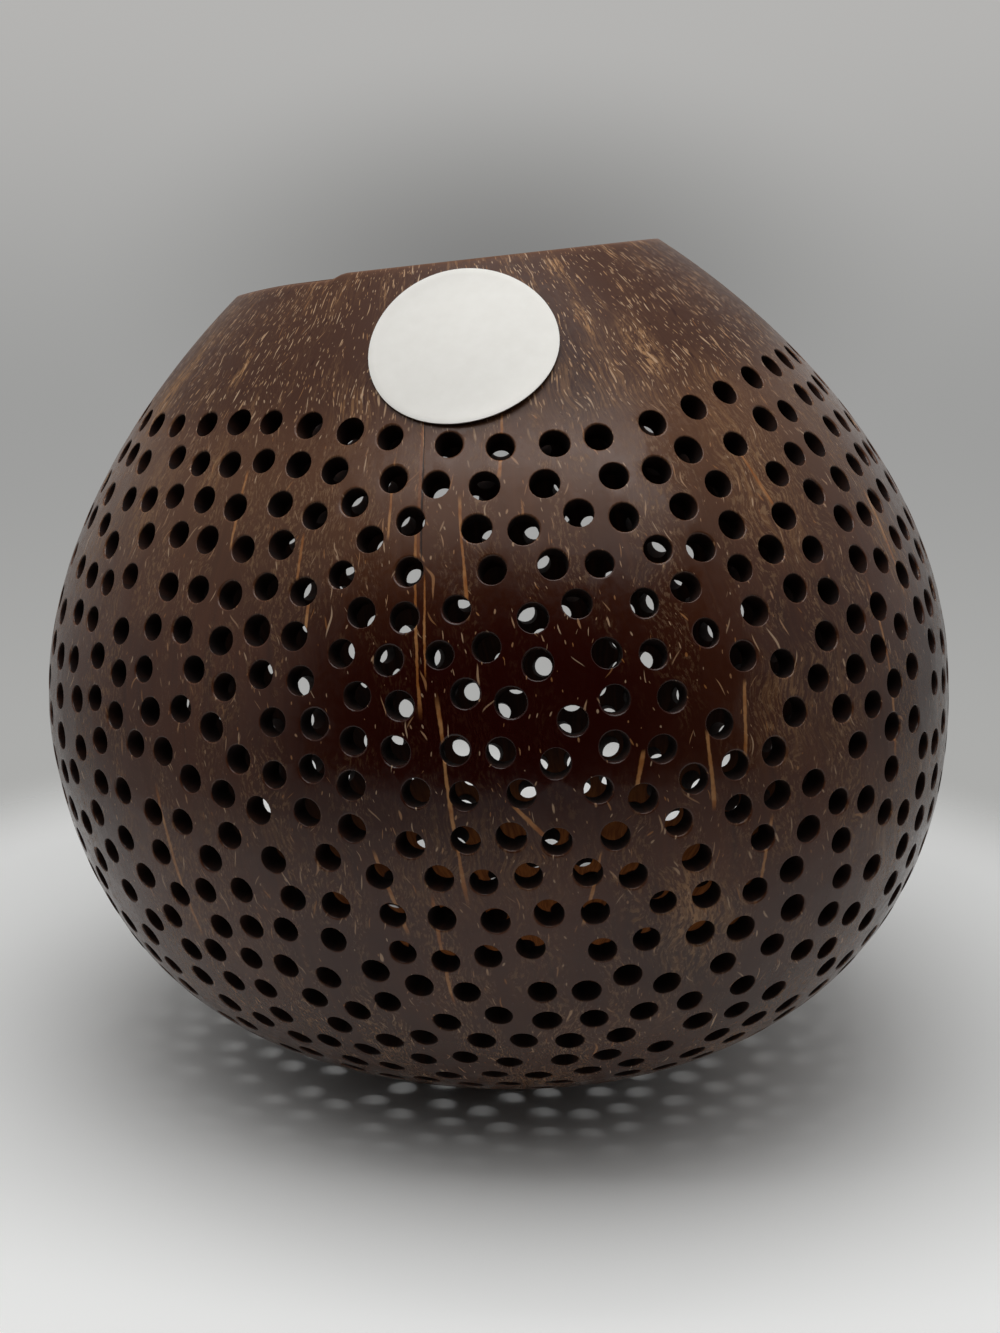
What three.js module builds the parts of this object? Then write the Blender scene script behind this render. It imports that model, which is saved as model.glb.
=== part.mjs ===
// Carved coconut shell: a hollow shell with a sawn mouth at the top, a plain neck below it, and
// drilled holes all over the rest. A round paper label sits on the front of the neck.
// Units are millimetres. +Z is up, -Y is the front, and the origin is the middle of the flat base.
import * as THREE from 'three';
import { ConvexHull } from 'three/addons/math/ConvexHull.js';

// Outline of the whole nut, as two curves that meet at its widest level. A fullness is the share
// of the radius or the height that a curve runs straight on for before it turns.
const maxRadius = 68;
const baseDepth = 60.1;
const crownHeight = 77.5;
const bottomFullness = 0.344;
const flankFullness = 0.878;
const shoulderFullness = 0.523;
const crownFullness = 0.268;

// Natural unevenness: three faint ridges, and a lean to the left and a little to the front
const ridgeRise = 2.3;
const ridgeCount = 3;
const ridgeDegrees = 306;
const leanLeftDegrees = 7;
const leanFrontDegrees = 0.8;

// The shell's wall, its sanded base and its sawn mouth
const wall = 3.6;
const sandedDepth = 1.2;
const mouthDiameter = 60.4;
const mouthRollDegrees = -0.7;
const mouthPitchDegrees = 5.2;

// The drilled pattern, which starts at a wavering border row below the neck
const holeDiameter = 3.8;
const holeSides = 6;
const holeRows = 16;
const neckLength = 23.2;
const borderRollDegrees = -2.4;
const borderPitchDegrees = -2;
const borderWave = 2;
const borderWaves = 4;
const borderWaveDegrees = 282;
const baseMargin = 5;
const handError = 0.2;
const borderError = 0.06;

// The label, a disc of paper laid on the neck
const labelDiameter = 25.4;
const labelThickness = 0.4;
const labelGap = 0.3;
const labelDegrees = 271;
const labelBelowMouth = 15.1;

// Fineness of the faceted surfaces and of the search for even spacing
const mouthSides = 40;
const neckRings = 2;
const baseSides = 24;
const labelSides = 24;
const labelRings = 3;
const outlineSteps = 400;
const halvings = 40;
const spreadPasses = 40;
const spreadPull = 0.4;

const fullTurn = 2 * Math.PI;
const rowToRow = Math.sqrt(3) / 2;
const radians = THREE.MathUtils.degToRad;

const lowerOutline = new THREE.CubicBezierCurve(
  new THREE.Vector2(0, -baseDepth),
  new THREE.Vector2(maxRadius * bottomFullness, -baseDepth),
  new THREE.Vector2(maxRadius, -baseDepth * flankFullness),
  new THREE.Vector2(maxRadius, 0),
);
const upperOutline = new THREE.CubicBezierCurve(
  new THREE.Vector2(maxRadius, 0),
  new THREE.Vector2(maxRadius, crownHeight * shoulderFullness),
  new THREE.Vector2(maxRadius * crownFullness, crownHeight),
  new THREE.Vector2(0, crownHeight),
);
const outline = new THREE.CurvePath();
outline.add(lowerOutline);
outline.add(upperOutline);
const outlineLength = outline.getLength();
const outlinePoints = outline.getSpacedPoints(outlineSteps);
const outlineAngles = outlinePoints.map(({ x, y }) => Math.atan2(y, x));
const widest = lowerOutline.getLength();
const nearTop = outlineLength * (1 - 1 / outlineSteps);

// Radius and level at a distance along the outline, measured from the bottom
function outlineAt(distance) {
  const place = THREE.MathUtils.clamp(distance / outlineLength, 0, 1) * outlineSteps;
  const before = Math.min(Math.floor(place), outlineSteps - 1);
  return outlinePoints[before].clone().lerp(outlinePoints[before + 1], place - before);
}

// The value between low and high at which a test first fails, where it holds at low
function lastThatHolds(low, high, holds) {
  let within = low;
  let beyond = high;
  for (let halving = 0; halving < halvings; halving += 1) {
    const middle = (within + beyond) / 2;
    if (holds(middle)) within = middle;
    else beyond = middle;
  }
  return (within + beyond) / 2;
}

function ridgeAt(azimuth) {
  const turn = ridgeCount * (azimuth - radians(ridgeDegrees));
  return 1 + (ridgeRise / maxRadius) * Math.cos(turn);
}

// A point of the outer surface, in the nut's own frame with its centre at the widest level
function skinPoint(azimuth, distance) {
  const { x: radius, y: level } = outlineAt(distance);
  const reach = radius * ridgeAt(azimuth);
  return new THREE.Vector3(reach * Math.cos(azimuth), reach * Math.sin(azimuth), level);
}

// The same surface point and its distance along the outline, found straight out from the centre
function placeToward(target) {
  const azimuth = Math.atan2(target.y, target.x);
  const angle = Math.atan2(target.z * ridgeAt(azimuth), Math.hypot(target.x, target.y));
  let low = 0;
  let high = outlineSteps;
  while (high - low > 1) {
    const middle = Math.floor((low + high) / 2);
    if (outlineAngles[middle] <= angle) low = middle;
    else high = middle;
  }
  const share = THREE.MathUtils.inverseLerp(outlineAngles[low], outlineAngles[high], angle);
  const distance = ((low + share) / outlineSteps) * outlineLength;
  return { azimuth, distance, point: skinPoint(azimuth, distance) };
}

// Directions along the skin and straight out of it, at a point of the skin
function directionsAt(point) {
  const step = 0.5;
  const along = (direction) => {
    const ahead = placeToward(point.clone().addScaledVector(direction, step)).point;
    const behind = placeToward(point.clone().addScaledVector(direction, -step)).point;
    return ahead.sub(behind).normalize();
  };
  const sideways = Math.abs(point.x) + Math.abs(point.y) > step
    ? new THREE.Vector3(-point.y, point.x, 0).normalize()
    : new THREE.Vector3(0, 1, 0);
  const upward = new THREE.Vector3().crossVectors(point, sideways).normalize();
  const east = along(sideways);
  const north = along(upward);
  return { east, north, outward: new THREE.Vector3().crossVectors(east, north).normalize() };
}

function pointBelow(point, depth) {
  return point.clone().addScaledVector(directionsAt(point).outward, -depth);
}

// The skin point that lies a few millimetres away from another, towards an angle on the skin
function pointNear(point, { east, north }, reach, angle) {
  const target = point.clone()
    .addScaledVector(east, reach * Math.cos(angle))
    .addScaledVector(north, reach * Math.sin(angle));
  return placeToward(target).point;
}

// A plane across the nut, square to its axis but for a roll to the side and a pitch to the front
function crossPlane(distance, rollDegrees, pitchDegrees) {
  const normal = new THREE.Vector3(
    -Math.tan(radians(rollDegrees)),
    Math.tan(radians(pitchDegrees)),
    1,
  );
  const middle = new THREE.Vector3(0, 0, outlineAt(distance).y);
  return new THREE.Plane().setFromNormalAndCoplanarPoint(normal.normalize(), middle);
}

// Distance along one meridian at which the skin, or the surface a depth below it, meets a plane
function planeCrossing(plane, azimuth, depth) {
  return lastThatHolds(widest, nearTop, (distance) => {
    const point = skinPoint(azimuth, distance);
    return plane.distanceToPoint(depth === 0 ? point : pointBelow(point, depth)) < 0;
  });
}

// The same measure all round the nut, worked out once for evenly spread azimuths
function allRound(measure) {
  const steps = 180;
  const values = [];
  for (let step = 0; step <= steps; step += 1) values.push(measure((step / steps) * fullTurn));
  return (azimuth) => {
    const place = THREE.MathUtils.euclideanModulo(azimuth / fullTurn, 1) * steps;
    const before = Math.min(Math.floor(place), steps - 1);
    return THREE.MathUtils.lerp(values[before], values[before + 1], place - before);
  };
}

const mouthMiddle = lastThatHolds(widest, nearTop, (distance) => (
  outlineAt(distance).x > mouthDiameter / 2
));
const mouthPlane = crossPlane(mouthMiddle, mouthRollDegrees, mouthPitchDegrees);
const borderPlane = crossPlane(mouthMiddle - neckLength, borderRollDegrees, borderPitchDegrees);
const mouthDistance = allRound((azimuth) => planeCrossing(mouthPlane, azimuth, 0));
const borderDistance = allRound((azimuth) => {
  const wave = Math.cos(borderWaves * (azimuth - radians(borderWaveDegrees)));
  return planeCrossing(borderPlane, azimuth, 0) - borderWave * wave;
});

// How the nut stands: it leans, and rests on a flat that is sanded where it hangs lowest
const lean = new THREE.Quaternion().setFromEuler(
  new THREE.Euler(radians(leanFrontDegrees), -radians(leanLeftDegrees), 0, 'YXZ'),
);
const upright = new THREE.Vector3(0, 0, 1).applyQuaternion(lean.clone().invert());
const lowSide = Math.atan2(-upright.y, -upright.x);
const lowestDistance = lastThatHolds(0, widest, (distance) => (
  directionsAt(skinPoint(lowSide, distance)).north.dot(upright) < 0
));
const lowestPoint = skinPoint(lowSide, lowestDistance);
const basePlane = new THREE.Plane().setFromNormalAndCoplanarPoint(
  upright,
  lowestPoint.clone().addScaledVector(upright, sandedDepth),
);

function baseRing() {
  const directions = directionsAt(lowestPoint);
  const ring = [];
  for (let side = 0; side < baseSides; side += 1) {
    const angle = (side / baseSides) * fullTurn;
    const reach = lastThatHolds(0, maxRadius / 2, (tried) => (
      basePlane.distanceToPoint(pointNear(lowestPoint, directions, tried, angle)) < 0
    ));
    ring.push(pointNear(lowestPoint, directions, reach, angle));
  }
  return ring;
}

const basePoints = baseRing();
const baseMiddle = basePoints
  .reduce((sum, point) => sum.add(point), new THREE.Vector3())
  .divideScalar(baseSides);
const baseReach = Math.max(...basePoints.map((point) => point.distanceTo(baseMiddle)));

// Repeatable unevenness of the hand: one number from -1 to 1 for each hole and use
function uneven(index, use) {
  const wave = Math.sin(index * 127.1 + use * 311.7) * 43758.5453;
  return 2 * (wave - Math.floor(wave)) - 1;
}

// Rows of holes from the border row down to the bottom, each hole set a little off by hand
function drilledPoints() {
  const rowGap = borderDistance(0) / (holeRows - 0.5);
  const spacing = rowGap / rowToRow;
  const holes = [];
  for (let row = 0; row < holeRows; row += 1) {
    const drop = row * rowGap;
    const rowRadius = outlineAt(borderDistance(0) - drop).x;
    const count = Math.round((fullTurn * rowRadius) / spacing);
    const slip = row === 0 ? borderError : handError;
    for (let hole = 0; hole < count; hole += 1) {
      const index = holes.length;
      const azimuth = ((hole + row / 2 + slip * uneven(index, 1)) / count) * fullTurn;
      const scale = borderDistance(azimuth) / borderDistance(0);
      const distance = borderDistance(azimuth) - scale * (drop + slip * rowGap * uneven(index, 2));
      const point = skinPoint(azimuth, distance);
      const onBorder = row === 0;
      if (point.distanceTo(baseMiddle) > baseReach + baseMargin / 2) holes.push({ point, onBorder });
    }
  }
  for (let pass = 0; pass < spreadPasses; pass += 1) spreadHoles(holes, spacing, rowGap);
  return holes.map(({ point }) => point);
}

// Moves holes that crowd each other apart along the skin. The border row stays in line, and the
// rest stay below it and clear of the base.
function spreadHoles(holes, spacing, rowGap) {
  const moves = holes.map(() => new THREE.Vector3());
  for (let one = 0; one < holes.length; one += 1) {
    for (let other = one + 1; other < holes.length; other += 1) {
      const apart = new THREE.Vector3().subVectors(holes[one].point, holes[other].point);
      const crowding = spacing - apart.length();
      if (crowding > 0) {
        apart.setLength(crowding * spreadPull);
        moves[one].add(apart);
        moves[other].sub(apart);
      }
    }
  }
  holes.forEach((hole, index) => {
    const moved = hole.point.clone().add(moves[index]);
    const fromBase = moved.clone().sub(baseMiddle);
    const clearance = baseReach + baseMargin;
    if (fromBase.length() < clearance) moved.copy(baseMiddle).add(fromBase.setLength(clearance));
    const { azimuth, distance } = placeToward(moved);
    const border = borderDistance(azimuth);
    const highest = hole.onBorder ? border : border - rowGap;
    hole.point = skinPoint(azimuth, hole.onBorder ? border : Math.min(distance, highest));
  });
}

// Points of the shell in pairs, one on the outer face and one on the inner face below it.
// Points that share a loop stand round one opening.
function shellPoints() {
  const pairs = [];
  const loops = [];
  const addPair = (outer, inner, loop) => {
    pairs.push({ outer, inner, loop });
    if (loop) loop.push(pairs.length - 1);
  };
  const mouthLoop = [];
  for (let side = 0; side < mouthSides; side += 1) {
    const azimuth = (side / mouthSides) * fullTurn;
    const outer = skinPoint(azimuth, planeCrossing(mouthPlane, azimuth, 0));
    const above = skinPoint(azimuth, planeCrossing(mouthPlane, azimuth, wall));
    addPair(outer, pointBelow(above, wall), mouthLoop);
  }
  loops.push(mouthLoop);
  for (let ring = 1; ring <= neckRings; ring += 1) {
    for (let side = 0; side < mouthSides; side += 1) {
      const azimuth = ((side + ring / 2) / mouthSides) * fullTurn;
      const share = ring / (neckRings + 1);
      const distance = THREE.MathUtils.lerp(mouthDistance(azimuth), borderDistance(azimuth), share);
      const outer = skinPoint(azimuth, distance);
      addPair(outer, pointBelow(outer, wall));
    }
  }
  drilledPoints().forEach((point, index) => {
    const directions = directionsAt(point);
    const holeLoop = [];
    for (let side = 0; side < holeSides; side += 1) {
      const angle = uneven(index, 3) * Math.PI + (side / holeSides) * fullTurn;
      const outer = pointNear(point, directions, holeDiameter / 2, angle);
      addPair(outer, outer.clone().addScaledVector(directions.outward, -wall), holeLoop);
    }
    loops.push(holeLoop);
  });
  basePoints.forEach((point) => addPair(point, pointBelow(point, wall)));
  return { pairs, loops };
}

// Facets that join every point to its neighbours all round the nut, except across an opening
function facetsBetween(pairs) {
  const directions = pairs.map(({ outer }) => outer.clone().normalize());
  const indexOf = new Map(directions.map((direction, index) => [direction, index]));
  const hull = new ConvexHull().setFromPoints(directions);
  const facets = hull.faces.map((face) => [0, 1, 2].map((corner) => (
    indexOf.get(face.getEdge(corner).head().point)
  )));
  return facets.filter(([a, b, c]) => {
    const { loop } = pairs[a];
    return !loop || pairs[b].loop !== loop || pairs[c].loop !== loop;
  });
}

function shellGeometry() {
  const { pairs, loops } = shellPoints();
  const inside = pairs.length;
  const indices = [];
  facetsBetween(pairs).forEach(([a, b, c]) => {
    indices.push(a, b, c, inside + a, inside + c, inside + b);
  });
  loops.forEach((loop) => {
    loop.forEach((here, place) => {
      const next = loop[(place + 1) % loop.length];
      indices.push(here, next, inside + next, here, inside + next, inside + here);
    });
  });
  const corners = [...pairs.map(({ outer }) => outer), ...pairs.map(({ inner }) => inner)];
  return new THREE.BufferGeometry().setFromPoints(corners).setIndex(indices);
}

// A disc that follows the neck: rings of points round its middle, once for each face
function labelGeometry() {
  const azimuth = radians(labelDegrees);
  const middle = skinPoint(azimuth, mouthDistance(azimuth) - labelBelowMouth);
  const directions = directionsAt(middle);
  const corners = [];
  [labelGap + labelThickness, labelGap].forEach((lift) => {
    corners.push(pointBelow(middle, -lift));
    for (let ring = 1; ring <= labelRings; ring += 1) {
      const reach = (labelDiameter / 2) * (ring / labelRings);
      for (let side = 0; side < labelSides; side += 1) {
        const angle = (side / labelSides) * fullTurn;
        corners.push(pointBelow(pointNear(middle, directions, reach, angle), -lift));
      }
    }
  });
  const under = 1 + labelRings * labelSides;
  const corner = (ring, side) => (
    ring === 0 ? 0 : 1 + (ring - 1) * labelSides + (side % labelSides)
  );
  const indices = [];
  for (let side = 0; side < labelSides; side += 1) {
    for (let ring = 0; ring < labelRings; ring += 1) {
      const a = corner(ring, side);
      const b = corner(ring + 1, side);
      const c = corner(ring + 1, side + 1);
      const d = corner(ring, side + 1);
      indices.push(a, b, c, under + a, under + c, under + b);
      if (ring > 0) indices.push(a, c, d, under + a, under + d, under + c);
    }
    const here = corner(labelRings, side);
    const next = corner(labelRings, side + 1);
    indices.push(here, under + here, under + next, here, under + next, next);
  }
  return new THREE.BufferGeometry().setFromPoints(corners).setIndex(indices);
}

const shellMaterial = new THREE.MeshStandardMaterial({
  color: 0x4d3226,
  roughness: 0.35,
  metalness: 0,
  flatShading: true,
});
const paperMaterial = new THREE.MeshStandardMaterial({
  color: 0xe9e6df,
  roughness: 0.8,
  metalness: 0,
  flatShading: true,
});

const shell = new THREE.Mesh(shellGeometry(), shellMaterial);
shell.name = 'coconut_shell';
const label = new THREE.Mesh(labelGeometry(), paperMaterial);
label.name = 'paper_label';

const coconut = new THREE.Group();
coconut.add(shell, label);
coconut.quaternion.copy(lean);
coconut.position.copy(baseMiddle.clone().applyQuaternion(lean).negate());

const object = new THREE.Group();
object.add(coconut);

export default object;
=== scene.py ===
# Carved coconut shell: the looks of a hollow shell drilled with small round holes, and its label.
# Lengths are in metres, +Z is up and -Y is the front. Directions round the nut are angles from +X,
# so the front lies at 270 degrees.
import math

import bpy
import numpy as np
from mathutils import Matrix, Vector
from mathutils.geometry import delaunay_2d_cdt


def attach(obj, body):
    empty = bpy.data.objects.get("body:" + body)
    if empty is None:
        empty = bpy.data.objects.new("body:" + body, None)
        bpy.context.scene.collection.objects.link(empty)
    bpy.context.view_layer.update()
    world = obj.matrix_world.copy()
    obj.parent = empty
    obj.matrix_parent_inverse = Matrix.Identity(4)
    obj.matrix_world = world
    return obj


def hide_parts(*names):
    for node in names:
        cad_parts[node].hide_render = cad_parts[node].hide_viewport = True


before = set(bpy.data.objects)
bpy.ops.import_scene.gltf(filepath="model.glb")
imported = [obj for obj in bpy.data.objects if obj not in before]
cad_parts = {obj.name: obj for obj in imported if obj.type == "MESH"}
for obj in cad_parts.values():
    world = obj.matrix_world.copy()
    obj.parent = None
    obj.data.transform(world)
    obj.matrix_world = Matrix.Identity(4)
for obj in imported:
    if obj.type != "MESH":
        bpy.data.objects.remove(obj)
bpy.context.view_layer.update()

MM = 0.001
TURN = 2 * math.pi

# Outline of the whole nut, as two curves that meet at its widest level. A fullness is the length
# of a curve's handle, as a share of the radius or the height.
MAX_RADIUS = 68 * MM
BASE_DEPTH = 60.1 * MM
CROWN_HEIGHT = 77.5 * MM
BOTTOM_FULLNESS = 0.344
FLANK_FULLNESS = 0.878
SHOULDER_FULLNESS = 0.523
CROWN_FULLNESS = 0.268

# Natural unevenness of the nut
RIDGE_RISE = 2.3 * MM
RIDGE_COUNT = 3
RIDGE_AZIMUTH = math.radians(306)
LEAN_LEFT = math.radians(7)
LEAN_FRONT = math.radians(0.8)

# Wall, sanded base and sawn mouth. Along the saw step the cut lies deeper, and there the rim is
# also worn, most at the left.
WALL = 3.6 * MM
SANDED_DEPTH = 1.2 * MM
MOUTH_RADIUS = 30.2 * MM
MOUTH_ROLL = math.radians(-0.7)
MOUTH_PITCH = math.radians(5.2)
RIM_ROUNDING = 0.45 * MM
SAW_STEP = 1.1 * MM
SAW_STEP_FROM = math.radians(124)
SAW_STEP_TO = math.radians(234.5)
SAW_STEP_SOFTNESS = math.radians(2.2)
WORN_RIM = 1.3 * MM
WORN_RIM_AZIMUTH = math.radians(182)
WORN_RIM_SPREAD = math.radians(40)

# The drilled pattern: its border row below the neck, and the rows under it
HOLE_PITCH = 6.85 * MM
ROW_GAP = 5.65 * MM
UNDER_BORDER = 0.9 * ROW_GAP
NECK_LENGTH = 23.2 * MM
BORDER_ROLL = math.radians(-2.4)
BORDER_PITCH = math.radians(-2)
BORDER_WAVE = 2 * MM
BORDER_WAVES = 4
BORDER_WAVE_AZIMUTH = math.radians(282)
BASE_MARGIN = 3.5 * MM
NEAR_POLE = 0.2 * MM

# How far holes stray from their places, as shares of the way to the next hole. Those that crowd,
# closer than a share of the pitch, are pushed apart by a share of what is missing in each pass.
HAND_ERROR = 0.40
BORDER_ERROR = 0.10
SPREAD_PASSES = 24
SPREAD_PULL = 0.4
CROWDING = 0.84

# One hole, and the shares by which its size, shape, slant and edge differ from hole to hole
HOLE_RADIUS = 1.88 * MM
EDGE_ROUNDING = 0.2 * MM
SIZE_ERROR = 0.03
OVAL_SHARE = 0.02
DRILL_TILT = 0.07
EDGE_ERROR = 0.4

# The label, which curls off the neck at its rim, more at two opposite sides
LABEL_RADIUS = 12.7 * MM
LABEL_THICKNESS = 0.18 * MM
LABEL_LIFT = 0.12 * MM
LABEL_AZIMUTH = math.radians(271.3)
LABEL_BELOW_MOUTH = 15.1 * MM
LABEL_CURL = 0.35 * MM
LABEL_CURL_CHANGE = 0.6
LABEL_CURL_TURN = 3.6

# How fine the meshes are
BASE_SIDES = 72
MOUTH_SIDES = 240
HOLE_SIDES = 20
NECK_SPACING = 1.3 * MM
NECK_CLEARANCE = 0.3 * MM
ROUND_SIDES = 96
LABEL_RINGS = 14

# The photograph's frame, the place of its camera, and the floor
IMAGE_SIZE = (1000, 1333)
FOCAL_PIXELS = 2003
VIEW_DISTANCE = 4.588 * MAX_RADIUS
VIEW_ELEVATION = math.radians(16)
CENTRE_PIXEL = (508.6, 669.8)
SENSOR_HEIGHT = 36
FLOOR_RADIUS = 160 * MM
FLOOR_FADE = 0.72
# Painted light on the floor, brighter between these distances in front of the shell
FLOOR_LIGHT_PAINTED_FROM = -36 * MM
FLOOR_LIGHT_PAINTED_TO = -85 * MM

rng = np.random.default_rng(7)


# Surface of the nut

def bezier(start, leave, arrive, end, steps=600):
    t = np.linspace(0, 1, steps)[:, None]
    start, leave, arrive, end = (np.array(p, float) for p in (start, leave, arrive, end))
    return (1 - t) ** 3 * start + 3 * (1 - t) ** 2 * t * leave + 3 * (1 - t) * t * t * arrive + t ** 3 * end


lower = bezier(
    (0, -BASE_DEPTH), (MAX_RADIUS * BOTTOM_FULLNESS, -BASE_DEPTH),
    (MAX_RADIUS, -BASE_DEPTH * FLANK_FULLNESS), (MAX_RADIUS, 0),
)
upper = bezier(
    (MAX_RADIUS, 0), (MAX_RADIUS, CROWN_HEIGHT * SHOULDER_FULLNESS),
    (MAX_RADIUS * CROWN_FULLNESS, CROWN_HEIGHT), (0, CROWN_HEIGHT),
)
outline = np.vstack([lower, upper[1:]])
outline_distance = np.concatenate([[0], np.cumsum(np.linalg.norm(np.diff(outline, axis=0), axis=1))])
outline_angle = np.arctan2(outline[:, 1], outline[:, 0])
WIDEST = outline_distance[len(lower) - 1]
NEAR_TOP = outline_distance[-1] - 0.5 * MM


def outline_at(distance):
    """Radius and level at a distance along the outline from the bottom."""
    radius = np.interp(distance, outline_distance, outline[:, 0])
    level = np.interp(distance, outline_distance, outline[:, 1])
    return radius, level


def ridges(azimuth):
    return 1 + RIDGE_RISE / MAX_RADIUS * np.cos(RIDGE_COUNT * (azimuth - RIDGE_AZIMUTH))


def skin(azimuth, distance):
    """Points of the outer face, in the nut's own frame, whose origin is its middle."""
    radius, level = outline_at(distance)
    radius = radius * ridges(azimuth)
    return np.stack([radius * np.cos(azimuth), radius * np.sin(azimuth), level + 0 * radius], axis=-1)


def place_toward(points):
    """Azimuth and distance of the skin straight out from the nut's middle through each point."""
    azimuth = np.arctan2(points[..., 1], points[..., 0])
    flat = np.linalg.norm(points[..., :2], axis=-1)
    angle = np.arctan2(points[..., 2] * ridges(azimuth), flat)
    return azimuth, np.interp(angle, outline_angle, outline_distance)


def unit(vectors):
    return vectors / np.linalg.norm(vectors, axis=-1, keepdims=True)


def directions(points):
    """East, north and outward at points of the skin."""
    step = 0.5 * MM
    sideways = np.stack([-points[..., 1], points[..., 0], 0 * points[..., 0]], axis=-1)
    near_axis = np.linalg.norm(sideways, axis=-1, keepdims=True) < step
    sideways = unit(np.where(near_axis, np.array([0.0, 1.0, 0.0]), sideways))
    upward = unit(np.cross(points, sideways))

    def along(way):
        return unit(skin(*place_toward(points + way * step)) - skin(*place_toward(points - way * step)))

    east = along(sideways)
    north = along(upward)
    return east, north, unit(np.cross(east, north))


def below(points, depth):
    """Points of the skin moved straight in by one depth, or by a depth for each."""
    return points - directions(points)[2] * np.asarray(depth)[..., None]


def around(points, reach, angle):
    """Places on the skin a few millimetres away from points, one row of places for each point."""
    east, north, _ = directions(points)
    to_east = (reach * np.cos(angle))[..., None] * east[..., None, :]
    to_north = (reach * np.sin(angle))[..., None] * north[..., None, :]
    return place_toward(points[..., None, :] + to_east + to_north)


def full_turn(sides):
    return np.arange(sides) / sides * TURN


def last_that_holds(low, high, holds):
    """Where a test that holds at low and fails at high stops holding, found by halving."""
    for _ in range(40):
        middle = (low + high) / 2
        good = holds(middle)
        low = np.where(good, middle, low)
        high = np.where(good, high, middle)
    return (low + high) / 2


# The sawn mouth and the border of the holes, as distances along the outline all round the nut

def cross_plane(distance, roll, pitch):
    """A plane across the nut, as its normal and how far along it the plane lies."""
    normal = unit(np.array([-math.tan(roll), math.tan(pitch), 1.0]))
    return normal, normal[2] * outline_at(distance)[1]


def plane_crossing(plane, azimuth, depth=0.0):
    """Where the skin, or the face at a depth under it, meets a plane."""
    normal, offset = plane

    def under(distance):
        points = skin(azimuth, distance)
        if depth:
            points = below(points, depth)
        return points @ normal < offset

    return last_that_holds(np.full_like(azimuth, WIDEST), np.full_like(azimuth, NEAR_TOP), under)


def smooth(value, low, high):
    t = np.clip((value - low) / (high - low), 0, 1)
    return t * t * (3 - 2 * t)


def rim_drop(azimuth):
    """How far the rim lies below the plane of the cut, past the saw step and where it is worn."""
    turn = np.mod(azimuth, TURN)
    down, up = (
        smooth(turn, middle - SAW_STEP_SOFTNESS, middle + SAW_STEP_SOFTNESS)
        for middle in (SAW_STEP_FROM, SAW_STEP_TO)
    )
    worn = 1 - smooth(np.abs(turn - WORN_RIM_AZIMUTH), 0, WORN_RIM_SPREAD)
    return SAW_STEP * (down - up) + WORN_RIM * worn


mouth_middle = last_that_holds(WIDEST, NEAR_TOP, lambda distance: outline_at(distance)[0] > MOUTH_RADIUS)
mouth_plane = cross_plane(mouth_middle, MOUTH_ROLL, MOUTH_PITCH)
border_plane = cross_plane(mouth_middle - NECK_LENGTH, BORDER_ROLL, BORDER_PITCH)

round_nut = np.linspace(0, TURN, 721)
mouth_table = plane_crossing(mouth_plane, round_nut) - rim_drop(round_nut)
border_table = plane_crossing(border_plane, round_nut)
border_table -= BORDER_WAVE * np.cos(BORDER_WAVES * (round_nut - BORDER_WAVE_AZIMUTH))


def all_round(table, azimuth):
    return np.interp(np.mod(azimuth, TURN), round_nut, table)


# How the nut stands: it leans, and rests on a flat that is sanded where it hangs lowest

lean = np.array(Matrix.Rotation(-LEAN_LEFT, 3, "Y") @ Matrix.Rotation(LEAN_FRONT, 3, "X"))
upright = lean.T @ np.array([0, 0, 1.0])
low_side = math.atan2(-upright[1], -upright[0])
lowest_distance = last_that_holds(0.0, WIDEST, lambda distance: (
    directions(skin(np.array([low_side]), np.array([distance])))[1][0] @ upright < 0
))
lowest_point = skin(np.array([low_side]), np.array([lowest_distance]))
base_level = lowest_point[0] @ upright + SANDED_DEPTH

base_angle = full_turn(BASE_SIDES)
base_reach = last_that_holds(np.zeros(BASE_SIDES), np.full(BASE_SIDES, MAX_RADIUS / 2), lambda reach: (
    skin(*around(lowest_point, reach, base_angle))[0] @ upright < base_level
))
base_ring = skin(*around(lowest_point, base_reach, base_angle))[0]
base_middle = base_ring.mean(axis=0)
BASE_RADIUS = np.linalg.norm(base_ring - base_middle, axis=1).max()


def to_row(points):
    """From the nut's own frame to the row frame."""
    return (points - base_middle) @ lean.T


# Pattern of holes

def hole_rows():
    """Wandering rows of points on the skin, and which of the points are in the border row."""
    front_border = all_round(border_table, 0.0)
    starts, in_border = [], []
    for row in range(round(front_border / ROW_GAP)):
        drop = row * ROW_GAP
        radius = outline_at(front_border - drop)[0]
        count = max(round(TURN * radius / HOLE_PITCH), 1)
        slip = BORDER_ERROR if row == 0 else HAND_ERROR
        sway = slip * (2 * rng.random((count, 2)) - 1)
        azimuth = (np.arange(count) + row * 0.5 + rng.random() * (row > 0) + sway[:, 0]) / count * TURN
        border = all_round(border_table, azimuth)
        distance = border - border / front_border * (drop + sway[:, 1] * ROW_GAP * (row > 0))
        starts.append(skin(azimuth, np.maximum(distance, NEAR_POLE)))
        in_border.append(np.full(count, row == 0))
    return np.vstack(starts), np.concatenate(in_border)


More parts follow.
